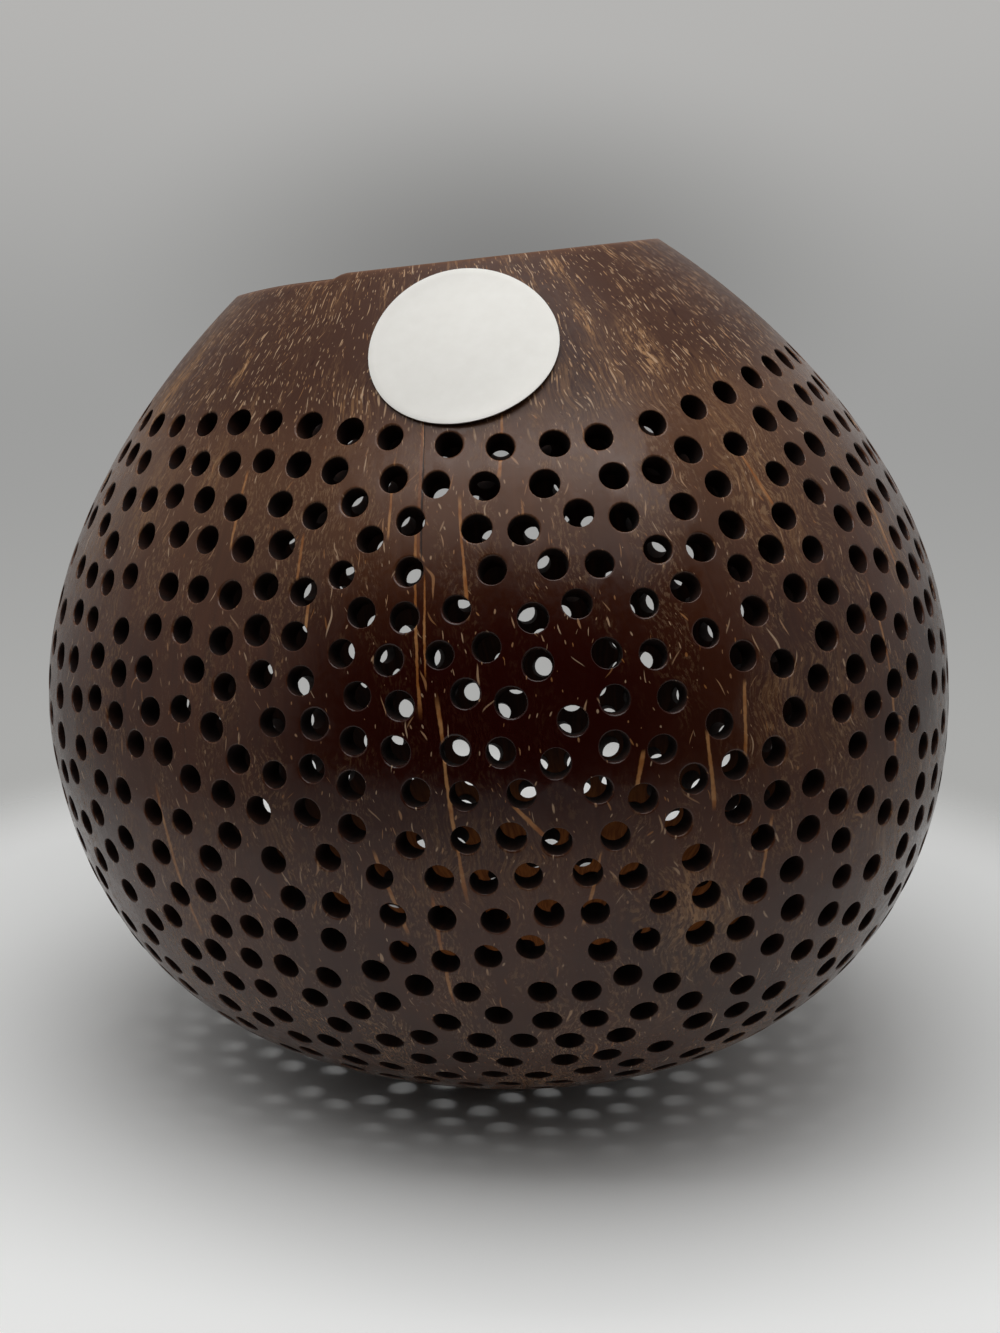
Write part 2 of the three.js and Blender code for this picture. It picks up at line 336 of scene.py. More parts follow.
def spread_apart(points, in_border):
    """Points pushed apart where they crowd, clear of the base, on or well under the border."""
    clearance = BASE_RADIUS + HOLE_RADIUS + BASE_MARGIN
    outside = np.linalg.norm(points - base_middle, axis=1) > clearance - HOLE_PITCH / 3
    points, in_border = points[outside], in_border[outside]
    for _ in range(SPREAD_PASSES):
        apart = points[:, None, :] - points[None, :, :]
        length = np.linalg.norm(apart, axis=-1) + 1e-9
        push = np.maximum(CROWDING * HOLE_PITCH - length, 0) * SPREAD_PULL / length
        np.fill_diagonal(push, 0)
        moved = points + (apart * push[..., None]).sum(axis=1)
        from_base = moved - base_middle
        reach = np.linalg.norm(from_base, axis=1)[:, None]
        moved = np.where(reach < clearance, base_middle + from_base / reach * clearance, moved)
        azimuth, distance = place_toward(moved)
        border = all_round(border_table, azimuth)
        points = skin(azimuth, np.where(in_border, border, np.minimum(distance, border - UNDER_BORDER)))
    return points


# Mesh of the shell

MOUTH_LOOP = 0
FIRST_HOLE_LOOP = 1
NO_LOOP = -1


def delaunay(points):
    """Triangles between points round the nut, found in a flat map seen from above the mouth."""
    way = unit(points)
    flat = way[:, :2] / (1 - way[:, 2:3])
    faces, originals = delaunay_2d_cdt([Vector(p) for p in flat], [], [], 0, 1e-9)[2:4]
    source = [original[0] if original else -1 for original in originals]
    return np.array([[source[corner] for corner in face] for face in faces])


def quads_between(ring, next_ring):
    """Quads that join rings of points to other rings, where the last axis runs round a ring."""
    corners = [ring, np.roll(ring, -1, axis=-1), np.roll(next_ring, -1, axis=-1), next_ring]
    return np.stack(corners, axis=-1).reshape(-1, 4)


class ShellMesh:
    """Points of the shell with the values that its material reads, and the faces between them.

    One set of triangles makes both skins, so their points are kept as pairs. The pairs round the
    mouth or round a hole carry the number of that loop, and no triangle covers a loop.
    """

    def __init__(self):
        self.points, self.grain, self.depth, self.edge = [], [], [], []
        self.outer, self.inner, self.loop = [], [], []
        self.quads = []
        self.count = 0

    def add(self, points, place, depth, edge):
        """Adds points and gives their numbers."""
        azimuth, distance = place
        self.points.append(points)
        self.grain.append(np.stack([np.cos(azimuth), np.sin(azimuth), distance / MAX_RADIUS], axis=-1))
        self.depth.append(np.full(len(points), depth, float))
        self.edge.append(np.full(len(points), edge, float))
        first = self.count
        self.count += len(points)
        return np.arange(first, self.count)

    def pair(self, outer, inner, loop):
        """Notes which outer and inner points belong together, and the number of their loop."""
        self.outer.append(outer.ravel())
        self.inner.append(inner.ravel())
        self.loop.append(np.broadcast_to(loop, outer.shape).ravel())

    def join(self, rings):
        for ring, next_ring in zip(rings, rings[1:]):
            self.quads.append(quads_between(ring, next_ring))

    def add_mouth(self):
        """The outer edge, the sawn face and the inner edge."""
        azimuth = full_turn(MOUTH_SIDES)
        outer_edge = plane_crossing(mouth_plane, azimuth) - rim_drop(azimuth)
        inner_edge = plane_crossing(mouth_plane, azimuth, WALL) - rim_drop(azimuth)
        skin_edge = skin(azimuth, outer_edge)
        wall_edge = below(skin(azimuth, inner_edge), WALL)
        lip = skin(azimuth, outer_edge - RIM_ROUNDING)
        across = unit(wall_edge - skin_edge) * RIM_ROUNDING
        # Close to the sharp edge, where the rounding bulges most
        rounded = skin_edge * 0.75 + lip * 0.12 + (skin_edge + across) * 0.13
        wall_lip = below(skin(azimuth, inner_edge - RIM_ROUNDING), WALL)
        outside = (azimuth, outer_edge)
        rings = [
            self.add(lip, outside, 0, 0.4),
            self.add(rounded, outside, 0, 1),
            self.add(skin_edge + across, outside, 0.3, 1),
            self.add((skin_edge + wall_edge) / 2, outside, 0.5, 0),
            self.add(wall_edge - across, outside, 0.9, 0),
            self.add(wall_lip, (azimuth, inner_edge), 1, 0),
        ]
        self.join(rings)
        self.pair(rings[0], rings[-1], MOUTH_LOOP)

    def add_both_faces(self, points, place, edge):
        """Points of the skin and the points of the inner face under them."""
        inner = below(points, WALL)
        self.pair(self.add(points, place, 0, edge), self.add(inner, place, 1, 0), NO_LOOP)

    def add_holes(self, middles):
        """Rings from the outer face, round the edge, down the wall and out to the inner face."""
        count = len(middles)
        east, north, outward = directions(middles)
        tilt = DRILL_TILT * rng.normal(size=(count, 2))
        axis = unit(outward + tilt[:, :1] * east + tilt[:, 1:] * north)
        angle = full_turn(HOLE_SIDES) + rng.random((count, 1)) * TURN
        wide = HOLE_RADIUS * (1 + SIZE_ERROR * rng.normal(size=(count, 1)))
        wide = wide * (1 + OVAL_SHARE * np.cos(2 * (angle + rng.random((count, 1)) * TURN)))
        rounding = EDGE_ROUNDING * (1 - EDGE_ERROR + 2 * EDGE_ERROR * rng.random((count, 1)))
        rounding = rounding * (1 + EDGE_ERROR * np.cos(angle + rng.random((count, 1)) * TURN))
        rings = []
        # How far a ring lies outside the hole and under the face, as shares of the rounding,
        # whether that is the inner face, and its values for the material
        for grow, sink, from_inside, depth, edge in (
            (1.0, 0.0, False, 0, 0.5), (0.3, 0.3, False, 0, 1), (0.0, 1.0, False, 0.12, 0.6),
            (0.0, 1.0, True, 0.88, 0), (0.3, 0.3, True, 1, 0), (1.0, 0.0, True, 1, 0),
        ):
            azimuth, distance = around(middles, wide + grow * rounding, angle)
            deep = WALL - sink * rounding if from_inside else sink * rounding
            points = skin(azimuth, distance) - deep[..., None] * axis[:, None, :]
            ids = self.add(points.reshape(-1, 3), (azimuth.ravel(), distance.ravel()), depth, edge)
            rings.append(ids.reshape(count, HOLE_SIDES))
        self.join(rings)
        self.pair(rings[0], rings[-1], FIRST_HOLE_LOOP + np.arange(count)[:, None])

    def faces(self):
        """The points, the triangles of both skins, and the quads."""
        points = np.vstack(self.points)
        outer, inner, loop = (np.concatenate(part) for part in (self.outer, self.inner, self.loop))
        triangles = delaunay(points[outer])
        first, second, third = loop[triangles].T
        covers_loop = (first == second) & (second == third) & (first != NO_LOOP)
        triangles = triangles[~covers_loop]
        a, b, c = (points[outer[triangles[:, k]]] for k in range(3))
        inward = (np.cross(b - a, c - a) * a).sum(axis=1) < 0
        triangles[inward] = triangles[inward][:, ::-1]
        both_skins = np.vstack([outer[triangles], inner[triangles[:, ::-1]]])
        return points, both_skins, np.vstack(self.quads)


def neck_places(holes):
    """A fine spread of places over the undrilled neck, clear of the holes."""
    azimuths, distances = [], []
    top = mouth_table.mean()
    bottom = border_table.mean()
    rows = round((top - bottom) / NECK_SPACING)
    for row in range(1, rows):
        share = row / rows
        radius = outline_at(bottom + (top - bottom) * share)[0]
        count = round(TURN * radius / NECK_SPACING)
        azimuth = (np.arange(count) + row * 0.5) / count * TURN
        here = all_round(border_table, azimuth)
        azimuths.append(azimuth)
        distances.append(here + (all_round(mouth_table, azimuth) - here) * share)
    azimuth, distance = np.concatenate(azimuths), np.concatenate(distances)
    apart = np.linalg.norm(skin(azimuth, distance)[:, None, :] - holes[None, :, :], axis=-1).min(axis=1)
    clear = apart > HOLE_RADIUS + 2.5 * EDGE_ROUNDING + NECK_CLEARANCE
    return azimuth[clear], distance[clear]


def build_shell():
    shell = ShellMesh()
    shell.add_mouth()
    middles = spread_apart(*hole_rows())
    neck = neck_places(middles)
    shell.add_both_faces(skin(*neck), neck, 0)
    shell.add_holes(middles)
    shell.add_both_faces(base_ring, place_toward(base_ring), 0.15)
    return shell


def store_mesh(name, points, triangles, quads):
    """A mesh from numpy triangles and quads, smooth shaded with area-weighted normals."""
    mesh = bpy.data.meshes.new(name)
    mesh.vertices.add(len(points))
    mesh.vertices.foreach_set("co", points.astype(np.float32).ravel())
    corners = np.concatenate([triangles.ravel(), quads.ravel()]).astype(np.int32)
    sizes = np.concatenate([np.full(len(triangles), 3), np.full(len(quads), 4)])
    starts = np.concatenate([[0], np.cumsum(sizes)[:-1]]).astype(np.int32)
    mesh.loops.add(len(corners))
    mesh.loops.foreach_set("vertex_index", corners)
    mesh.polygons.add(len(sizes))
    mesh.polygons.foreach_set("loop_start", starts)
    mesh.update(calc_edges=True)
    mesh.validate()
    mesh.polygons.foreach_set("use_smooth", np.ones(len(mesh.polygons), bool))
    normals = np.zeros_like(points)
    for cell in (triangles, quads):
        a, b, c, d = (points[cell[:, k]] for k in (0, 1, -2, -1))
        area = np.cross(c - a, d - b) if cell.shape[1] == 4 else np.cross(b - a, d - a)
        for k in range(cell.shape[1]):
            np.add.at(normals, cell[:, k], area)
    mesh.normals_split_custom_set_from_vertices(unit(normals + 1e-15))
    return mesh


def add_values(mesh, name, kind, values):
    field = "vector" if kind == "FLOAT_VECTOR" else "value"
    layer = mesh.attributes.new(name, kind, "POINT")
    layer.data.foreach_set(field, values.astype(np.float32).ravel())


def add_object(name, mesh, material):
    piece = bpy.data.objects.new(name, mesh)
    bpy.context.scene.collection.objects.link(piece)
    mesh.materials.append(material)
    return piece


# Node trees

class Nodes:
    """Short calls for building the node tree of a material or the world."""

    def __init__(self, owner):
        owner.use_nodes = True
        self.owner = owner
        self.tree = owner.node_tree
        self.shader = self.tree.nodes.get("Principled BSDF")

    def add(self, kind, inputs=None, **settings):
        node = self.tree.nodes.new(kind)
        for key, value in settings.items():
            setattr(node, key, value)
        for key, value in (inputs or {}).items():
            self.put(node.inputs[key], value)
        return node

    def put(self, socket, value):
        if isinstance(value, bpy.types.NodeSocket):
            self.tree.links.new(value, socket)
        else:
            socket.default_value = value

    def surface(self, inputs):
        for name, value in inputs.items():
            self.put(self.shader.inputs[name], value)

    def bump(self, height, strength, distance):
        inputs = {"Height": height, "Strength": strength, "Distance": distance}
        return self.add("ShaderNodeBump", inputs).outputs["Normal"]

    def attribute(self, name, output):
        return self.add("ShaderNodeAttribute", attribute_name=name, attribute_type="GEOMETRY").outputs[output]

    def math(self, operation, *values):
        node = self.add("ShaderNodeMath", operation=operation)
        for socket, value in zip(node.inputs, values):
            self.put(socket, value)
        return node.outputs[0]

    def times(self, value, *others):
        for other in others:
            value = self.math("MULTIPLY", value, other)
        return value

    def linear(self, value, factor, start):
        """A value times a factor, plus a start."""
        return self.math("MULTIPLY_ADD", value, factor, start)

    def length(self, x, y):
        return self.math("SQRT", self.math("ADD", self.math("POWER", x, 2.0), self.math("POWER", y, 2.0)))

    def vector(self, x, y, z=0.0):
        return self.add("ShaderNodeCombineXYZ", {"X": x, "Y": y, "Z": z}).outputs[0]

    def parts(self, vector):
        return self.add("ShaderNodeSeparateXYZ", {"Vector": vector}).outputs

    def noise(self, vector, scale=1.0, detail=3.0, roughness=0.5):
        inputs = {"Vector": vector, "Scale": scale, "Detail": detail, "Roughness": roughness}
        return self.add("ShaderNodeTexNoise", inputs).outputs["Fac"]

    def ramp(self, value, low, high, to_low=0.0, to_high=1.0):
        """to_low at low, to_high at high, smooth between and level beyond."""
        inputs = {"Value": value, "From Min": low, "From Max": high, "To Min": to_low, "To Max": to_high}
        return self.add("ShaderNodeMapRange", inputs, interpolation_type="SMOOTHSTEP").outputs["Result"]

    def mix(self, factor, a, b):
        node = self.add("ShaderNodeMix", data_type="RGBA")
        self.put(node.inputs[0], factor)
        self.put(node.inputs[6], a)
        self.put(node.inputs[7], b)
        return node.outputs[2]

    def over(self, colour, tone, mask, strength):
        """A colour with a tone laid over it, by a mask and a strength."""
        return self.mix(self.times(mask, strength), colour, tone)


class ShellGrain(Nodes):
    """Nodes that draw along the nut's own grain, with lengths in millimetres."""

    radius = MAX_RADIUS / MM

    def __init__(self, owner):
        super().__init__(owner)
        grain = self.parts(self.attribute("grain", "Vector"))
        # Measured round the nut from the front, so that the seam of the angle lies at the back
        turn = self.math("ARCTAN2", grain["X"], self.times(grain["Y"], -1.0))
        metres = self.add("ShaderNodeTexCoord").outputs["Object"]
        scaled = self.add("ShaderNodeVectorMath", {"Vector": metres, "Scale": 1 / MM}, operation="SCALE")
        self.place = scaled.outputs[0]
        # How far round the nut a place lies, along a grain that sways a little, more, or wiggles too
        sway = self.math("SUBTRACT", self.noise(self.place, 0.045, 2.0), 0.5)
        wiggle = self.math("SUBTRACT", self.noise(self.place, 0.16, 1.0), 0.5)
        self.straight = self.linear(turn, self.radius, self.times(sway, 1.5))
        self.across = self.linear(turn, self.radius, self.times(sway, 5.0))
        self.tilted = self.linear(wiggle, 4.5, self.across)
        self.crowd = self.noise(self.place, 0.07, 3.0, 0.6)
        self.along = self.times(grain["Z"], self.radius)
        self.ragged = self.math("SUBTRACT", self.noise(self.place, 0.9, 3.0, 0.6), 0.5)

    def from_front(self, degrees):
        """How far round the widest level a direction lies from the front."""
        return math.radians(degrees - 270) * self.radius

    def stretched(self, width, length, shift=0.0, across=None):
        """Coordinates in which a cell is so wide and so long on the shell."""
        return self.vector(
            self.linear(across or self.across, 1 / width, shift),
            self.linear(self.along, 1 / length, shift * 0.37),
        )

    def streaks(self, width, length, shift=0.0, across=None, detail=4.0, roughness=0.6):
        """Noise stretched along the grain."""
        return self.noise(self.stretched(width, length, shift, across), 1.0, detail, roughness)

    def flecks(self, width, length, size, chance, shift, slant=0.0):
        """A mask of small strokes along the grain, one at most in each cell, and a tone for each."""
        place = self.stretched(width, length, shift, self.linear(self.along, slant, self.tilted))
        cell = self.add("ShaderNodeTexVoronoi", {"Vector": place, "Scale": 1.0}, voronoi_dimensions="2D")
        dice = self.add("ShaderNodeSeparateColor", {"Color": cell.outputs["Color"]}).outputs
        likely = self.ramp(self.crowd, 0.3, 0.7, chance * 0.4, chance * 1.5)
        shown = self.math("LESS_THAN", dice["Red"], likely)
        limit = self.linear(dice["Green"], size * 0.7, size * 0.3)
        near = self.math("SUBTRACT", 1.0, self.math("DIVIDE", cell.outputs["Distance"], limit))
        return self.times(self.ramp(near, 0.0, 0.45), shown), dice["Blue"]

    def line(self, degrees, start, end, width, bend=0.0):
        """A mask of one long fibre from a start to an end distance along the outline."""
        slide = self.times(self.math("SUBTRACT", self.along, (start + end) / 2), bend / (end - start))
        aside = self.math("SUBTRACT", self.straight, self.from_front(degrees))
        aside = self.math("SUBTRACT", aside, slide)
        aside = self.math("ABSOLUTE", self.linear(self.ragged, 0.3, aside))
        limit = self.times(self.noise(self.vector(degrees, self.along), 0.12, 2.0), width * 1.5)
        mask = self.ramp(self.math("DIVIDE", aside, limit), 1.0, 0.45)
        taper = (end - start) * 0.12
        from_start = self.ramp(self.along, start, start + taper)
        return self.times(mask, from_start, self.ramp(self.along, end, end - taper))

    def patch(self, degrees, distance, half_width, half_length):
        """A soft oval mask at one place on the shell."""
        x = self.times(self.math("SUBTRACT", self.across, self.from_front(degrees)), 1 / half_width)
        y = self.times(self.math("SUBTRACT", self.along, distance), 1 / half_length)
        return self.ramp(self.length(x, y), 1.0, 0.2)

    def with_patches(self, mask, patches):
        for patch in patches:
            mask = self.math("MAXIMUM", mask, self.patch(*patch))
        return mask


# Colours of the shell

CLOUD_DARK = (0.034, 0.0078, 0.0038, 1)
CLOUD_PALE = (0.068, 0.0205, 0.0092, 1)
GRAIN_DARK = (0.016, 0.0030, 0.0018, 1)
GRAIN_PALE = (0.105, 0.033, 0.011, 1)
SHOULDER_BROWN = (0.155, 0.068, 0.029, 1)
NECK_BROWN = (0.050, 0.0185, 0.0115, 1)
BASE_BROWN = (0.026, 0.010, 0.004, 1)
SHADE_BROWN = (0.026, 0.0065, 0.0042, 1)
BELLY_SHADE_RED = (0.019, 0.0010, 0.0005, 1)
BARE_TAN = (0.240, 0.118, 0.048, 1)
CRUST_TAN = (0.250, 0.142, 0.068, 1)
WORN_TAN = (0.40, 0.215, 0.098, 1)
FLECK_ORANGE = (0.30, 0.115, 0.030, 1)
FLECK_TAN = (0.38, 0.205, 0.095, 1)
FLECK_PALE = (0.52, 0.36, 0.235, 1)
FLECK_DARK = (0.030, 0.006, 0.004, 1)
FIBRE_DARK = (0.28, 0.095, 0.022, 1)
FIBRE_PALE = (0.44, 0.215, 0.085, 1)
CRACK_SIDE = (0.21, 0.070, 0.022, 1)
CRACK_DARK = (0.010, 0.002, 0.001, 1)
EDGE_TAN = (0.19, 0.085, 0.045, 1)
# Painted shade: the walls of the holes, nearly black
HOLE_WALL_SHADE_DARK = (0.008, 0.002, 0.0012, 1)
HOLE_WALL_SHADE_PALE = (0.026, 0.0075, 0.0028, 1)
# Painted shade: the inside above, nearly black
INSIDE_SHADE_DARK = (0.010, 0.003, 0.0015, 1)
INSIDE_SHADE_PALE = (0.030, 0.009, 0.0035, 1)
# Painted light: the inside low down, amber where light falls in through the mouth
LIT_AMBER_DARK = (0.160, 0.044, 0.009, 1)
LIT_AMBER_PALE = (0.300, 0.098, 0.022, 1)
SAWN_DARK = (0.070, 0.027, 0.013, 1)
SAWN_PALE = (0.165, 0.078, 0.037, 1)

# Places on the shell. Each starts with degrees round the nut and a distance along the outline in
# millimetres, and a patch goes on with half its width and half its length.
NECK_SHADE = (288.0, 164.0, 10.0, 16.0)
# The belly band is painted shade: the shell turns a nearly black red across the front of the belly
BELLY_SHADE_BAND = (271.0, 118.0, 50.0, 29.0)
BARE_PATCHES = (
    (309.0, 141.0, 9.0, 18.0), (327.5, 126.0, 5.0, 12.0), (289.5, 85.0, 9.0, 13.0),
    (301.0, 112.0, 8.0, 10.0), (214.0, 145.0, 7.0, 12.0), (251.0, 158.0, 7.0, 7.0),
    (200.0, 160.0, 5.0, 14.0), (226.0, 150.0, 4.0, 9.0),
)
WORN_PATCHES = (
    (297.4, 179.5, 5.0, 3.0), (304.0, 163.0, 5.0, 8.0), (288.2, 88.0, 4.5, 9.0),
    (200.0, 162.0, 6.0, 12.0), (221.0, 166.0, 3.0, 5.0), (296.5, 169.0, 2.5, 5.0),
)

# Distances along the outline between which a tone sets in
RIM_WIDTH = 9.0
SHOULDER_FROM = 120.0
BASE_FROM, BASE_TO = 94.0, 66.0
# The inside turns from painted shade to amber painted light between these distances
LIT_AMBER_FROM, LIT_AMBER_TO = 72.0, 34.0

# A fibre has a start and an end distance, and then its width and sideways bend
FIBRES = (
    (263.1, 122, 136, 0.24, 1.0), (262.1, 117, 143, 0.36, 1.3), (264.0, 92, 121, 0.40, -0.8),
    (268.4, 129, 146, 0.44, 0.6), (275.0, 147, 157, 0.50, 2.2), (260.4, 76, 95, 0.40, 0.0),
    (263.6, 150, 158, 0.34, 0.0), (234.0, 139, 151, 0.42, -1.0), (296.2, 106, 117, 0.42, 2.0),
    (255.6, 88, 101, 0.50, -3.0), (297.0, 86, 99, 0.42, 3.0), (248.0, 128, 136, 0.36, 0.5),
    (284.0, 104, 111, 0.42, 2.0), (318.0, 98, 124, 0.40, 2.0), (226.0, 84, 108, 0.40, -2.0),
    (246.0, 132, 142, 0.36, 0.0), (327.5, 118, 134, 0.50, 3.0), (308.5, 136, 148, 0.42, -1.5),
    (259.0, 140, 152, 0.34, 0.6), (278.0, 88, 99, 0.45, 3.5), (291.5, 101, 112, 0.40, 0.5),
    (272.5, 101, 106, 0.45, -4.0),
)
CRACK = (263.5, 136, 159, 0.26, 0.8)
CRACK_EDGE = (263.1, 136, 157, 0.40, 0.8)

# Sets of flecks: width and length of the cell that each lies in, size as a share of the cell,
# chance, a shift that sets the sets apart, slant, and strength
BODY_FLECKS = (
    (1.5, 4.2, 0.095, 0.65, 0.0, 0.0, 0.8),
    (2.2, 11.0, 0.080, 0.65, 17.0, 0.25, 0.85),
    (2.0, 22.0, 0.068, 0.65, 31.0, -0.20, 0.85),
    (2.8, 30.0, 0.052, 0.80, 43.0, 0.0, 0.8),
    (3.4, 24.0, 0.046, 0.75, 61.0, 0.60, 0.6),
    (3.4, 24.0, 0.046, 0.75, 67.0, -0.65, 0.6),
    (5.5, 64.0, 0.045, 0.80, 83.0, 0.06, 0.8),
)
NECK_FLECKS = (
    (1.6, 4.6, 0.15, 0.85, 53.0, 0.0, 0.85),
    (2.4, 11.0, 0.12, 0.85, 71.0, 0.0, 0.95),
    (1.2, 2.6, 0.15, 0.80, 97.0, 0.0, 0.85),
    (3.0, 20.0, 0.085, 0.80, 143.0, 0.0, 0.95),
)
DARK_FLECKS = (3.0, 7.0, 0.16, 0.5, 119.0, 0.0, 0.7)


# Materials

class ShellLooks(ShellGrain):
    """The layers of the shell's material, in the order in which they lie on each other."""

    def __init__(self, owner):
        super().__init__(owner)
        self.border = float(border_table.mean()) / MM
        mouth = float(mouth_table.mean()) / MM
        # Masks and patterns that several layers share
        self.neck = self.ramp(self.along, self.border - 9.0, self.border + 7.0)
        self.rim = self.ramp(self.along, mouth - RIM_WIDTH, mouth)
        self.cloud = self.noise(self.place, 0.035, 4.0, 0.55)
        self.streak = self.streaks(1.3, 22.0)
        # Painted shade in a band across the belly, and a mask that keeps tan marks and bright edges out of it
        self.shade_band = self.patch(*BELLY_SHADE_BAND)
        self.off_shade_band = self.linear(self.shade_band, -0.9, 1.0)
        self.crust = self.streaks(0.42, 1.2, 21.0, self.tilted, roughness=0.7)
        self.scrape = self.streaks(0.9, 5.0, 9.0, detail=3.0)

    def ground(self):
        """Deep red brown with soft clouds and a fine grain, browner on the shoulder and the neck, and painted
        shade in a band across the belly.
        """
        colour = self.mix(self.ramp(self.cloud, 0.35, 0.68), CLOUD_DARK, CLOUD_PALE)
        colour = self.over(colour, GRAIN_PALE, self.ramp(self.streak, 0.50, 0.78), 0.45)
        colour = self.over(colour, GRAIN_DARK, self.ramp(self.streak, 0.48, 0.25), 0.55)
        colour = self.over(colour, SHOULDER_BROWN, self.ramp(self.along, SHOULDER_FROM, self.border), 0.55)
        colour = self.over(colour, NECK_BROWN, self.neck, 0.78)
        colour = self.mix(self.ramp(self.along, BASE_FROM, BASE_TO, 0.0, 0.5), colour, BASE_BROWN)
        colour = self.over(colour, SHADE_BROWN, self.patch(*NECK_SHADE), 0.6)
        # Painted shade: a nearly black red band across the front of the belly
        return self.over(colour, BELLY_SHADE_RED, self.shade_band, 0.97)

    def bare_places(self, colour):
        """Tan fibres that show through in places, and a dry crust that the polish has missed."""
        fibre = self.streaks(0.55, 9.0, 5.0, self.tilted, roughness=0.7)
        bare = self.times(self.ramp(self.noise(self.place, 0.03, 3.0, 0.6), 0.52, 0.72), 0.8)
        bare = self.with_patches(bare, BARE_PATCHES)
        shown = self.times(bare, self.ramp(fibre, 0.47, 0.60), self.off_shade_band)
        colour = self.over(colour, BARE_TAN, shown, 0.70)

        bands = self.ramp(self.streaks(7.0, 26.0, 11.0, detail=3.0), 0.44, 0.60)
        bands = self.math("MAXIMUM", bands, self.times(bare, 1.3))
        bands = self.times(bands, self.linear(self.neck, -0.75, 1.0))
        dry = self.times(bands, self.ramp(self.crust, 0.50, 0.60), self.off_shade_band)
        return self.over(colour, CRUST_TAN, dry, 0.58), dry

    def worn_places(self, colour):
        """Tan worn patches near the sawn rim, here and there on the neck, and low on the right."""
        worn = self.ramp(self.streaks(5.0, 16.0, 3.0, detail=5.0, roughness=0.65), 0.52, 0.72)
        wear = self.times(worn, self.linear(self.rim, 0.5, self.times(self.neck, 0.5)))
        wear = self.with_patches(wear, WORN_PATCHES)
        wear = self.times(wear, self.ramp(self.scrape, 0.40, 0.60), self.ramp(self.crust, 0.42, 0.52))
        return self.over(colour, WORN_TAN, wear, 0.85), wear

    def all_flecks(self, colour):
        """Flecks, sparse all over and crowded on the neck, with a few dark ones there."""
        for *shape, strength in BODY_FLECKS:
            mask, tone = self.flecks(*shape)
            colour = self.over(colour, self.mix(tone, FLECK_ORANGE, FLECK_PALE), mask, strength)
        for *shape, strength in NECK_FLECKS:
            mask, tone = self.flecks(*shape)
            tone = self.mix(tone, FLECK_TAN, FLECK_PALE)
            colour = self.over(colour, tone, mask, self.times(self.neck, strength))
        *shape, strength = DARK_FLECKS
        dark, _ = self.flecks(*shape)
        return self.over(colour, FLECK_DARK, dark, self.times(self.neck, strength))

    def fibres_and_crack(self, colour):
        """Long fibres, and the fine crack that runs down from the label."""
        tone = self.ramp(self.noise(self.place, 0.35, 3.0, 0.6), 0.35, 0.65)
        tone = self.mix(tone, FIBRE_DARK, FIBRE_PALE)
        for fibre in FIBRES:
            colour = self.over(colour, tone, self.line(*fibre), 0.95)
        crack = self.line(*CRACK)
        colour = self.over(colour, CRACK_SIDE, self.line(*CRACK_EDGE), 0.7)
        return self.mix(crack, colour, CRACK_DARK), crack

    def cut_faces(self, colour, depth, edge):
        """Brighter edges, the walls of the holes in painted shade, the sawn rim, and the inside, in painted
        shade above and amber painted light below.
        """
        bright = self.times(edge, self.linear(self.rim, 0.35, self.times(self.off_shade_band, 0.20)))
        colour = self.mix(bright, colour, EDGE_TAN)
        grain = self.ramp(self.streak, 0.35, 0.7)
        sawn = self.ramp(self.noise(self.place, 1.5, 4.0, 0.6), 0.4, 0.62)
        # The walls of the holes are painted shade, nearly black; the sawn face of the rim keeps its raw
        # colour
        wall = self.mix(self.rim, self.mix(grain, HOLE_WALL_SHADE_DARK, HOLE_WALL_SHADE_PALE), self.mix(sawn, SAWN_DARK, SAWN_PALE))
        # Painted light inside: amber low down where light falls in through the mouth, and painted shade above
        amber = self.mix(self.ramp(self.scrape, 0.35, 0.65), LIT_AMBER_DARK, LIT_AMBER_PALE)
        low = self.ramp(self.along, LIT_AMBER_FROM, LIT_AMBER_TO)
        inside = self.mix(low, self.mix(grain, INSIDE_SHADE_DARK, INSIDE_SHADE_PALE), amber)
        colour = self.mix(self.ramp(depth, 0.02, 0.12), colour, wall)
        return self.mix(self.ramp(depth, 0.88, 1.0), colour, inside)

    def roughness(self, fine, depth, dull):
        """A smooth satin on the body, duller on the neck, rough on worn places and inside."""
        rough = self.linear(self.cloud, 0.12, self.ramp(fine, 0.35, 0.65, 0.11, 0.21))
        rough = self.linear(self.shade_band, -0.05, rough)
        rough = self.linear(self.neck, 0.20, rough)
        rough = self.linear(dull, 0.20, rough)
        return self.linear(self.ramp(depth, 0.05, 0.2), 0.75, rough)


def coconut_material():
    looks = ShellLooks(bpy.data.materials.new("polished coconut shell"))
    depth = looks.attribute("depth", "Fac")
    edge = looks.attribute("edge", "Fac")
    colour = looks.ground()
    colour, dry = looks.bare_places(colour)
    colour, wear = looks.worn_places(colour)
    colour = looks.all_flecks(colour)
    colour, crack = looks.fibres_and_crack(colour)
    colour = looks.cut_faces(colour, depth, edge)
    fine = looks.noise(looks.place, 1.1, 4.0, 0.6)
    height = looks.linear(looks.streak, 0.6, looks.times(fine, 0.5))
    height = looks.math("SUBTRACT", height, looks.times(crack, 1.5))
    looks.surface({
        "Base Color": colour,
        "Roughness": looks.roughness(fine, depth, looks.math("MAXIMUM", wear, dry)),
        "Specular IOR Level": looks.linear(looks.neck, -0.15, 0.30),
        "Normal": looks.bump(height, 0.35, 0.06 * MM),
    })
    return looks.owner


def paper_material():
    nodes = Nodes(bpy.data.materials.new("label paper"))
    place = nodes.add("ShaderNodeTexCoord").outputs["Object"]
    cloud = nodes.noise(place, 500, 4.0, 0.6)
    nodes.surface({
        "Base Color": nodes.mix(cloud, (0.77, 0.75, 0.70, 1), (0.85, 0.835, 0.79, 1)),
        "Roughness": 0.6,
        "Normal": nodes.bump(nodes.noise(place, 260, 3.0), 0.12, 0.2 * MM),
    })
    return nodes.owner


